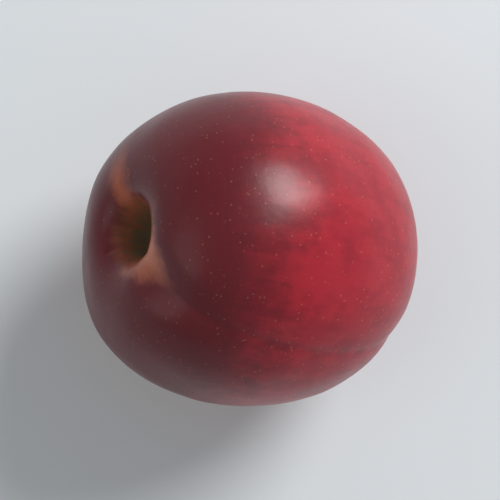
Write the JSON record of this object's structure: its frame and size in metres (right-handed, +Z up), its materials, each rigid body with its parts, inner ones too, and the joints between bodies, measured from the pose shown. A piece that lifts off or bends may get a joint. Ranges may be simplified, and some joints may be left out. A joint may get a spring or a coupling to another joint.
{
  "type": "nectarine",
  "caption": "Whole nectarine lying on its cheek, with a deep stem cavity, a shallow suture and a small flat spot to rest on.",
  "frame": {"origin": "middle of the small flat spot that the fruit rests on", "axes": "+Z straight up from the surface; the stem end leans 54 degrees from +Z, towards -X and a little to +Y"},
  "size_m": [0.0537, 0.0502, 0.052],
  "materials": {
    "skin": "smooth waxy fruit skin, semi-gloss, crimson to maroon blush over orange-yellow, fine pale dots, no fuzz"
  },
  "bodies": {
    "root": {"nectarine": "skin"}
  },
  "joints": []
}
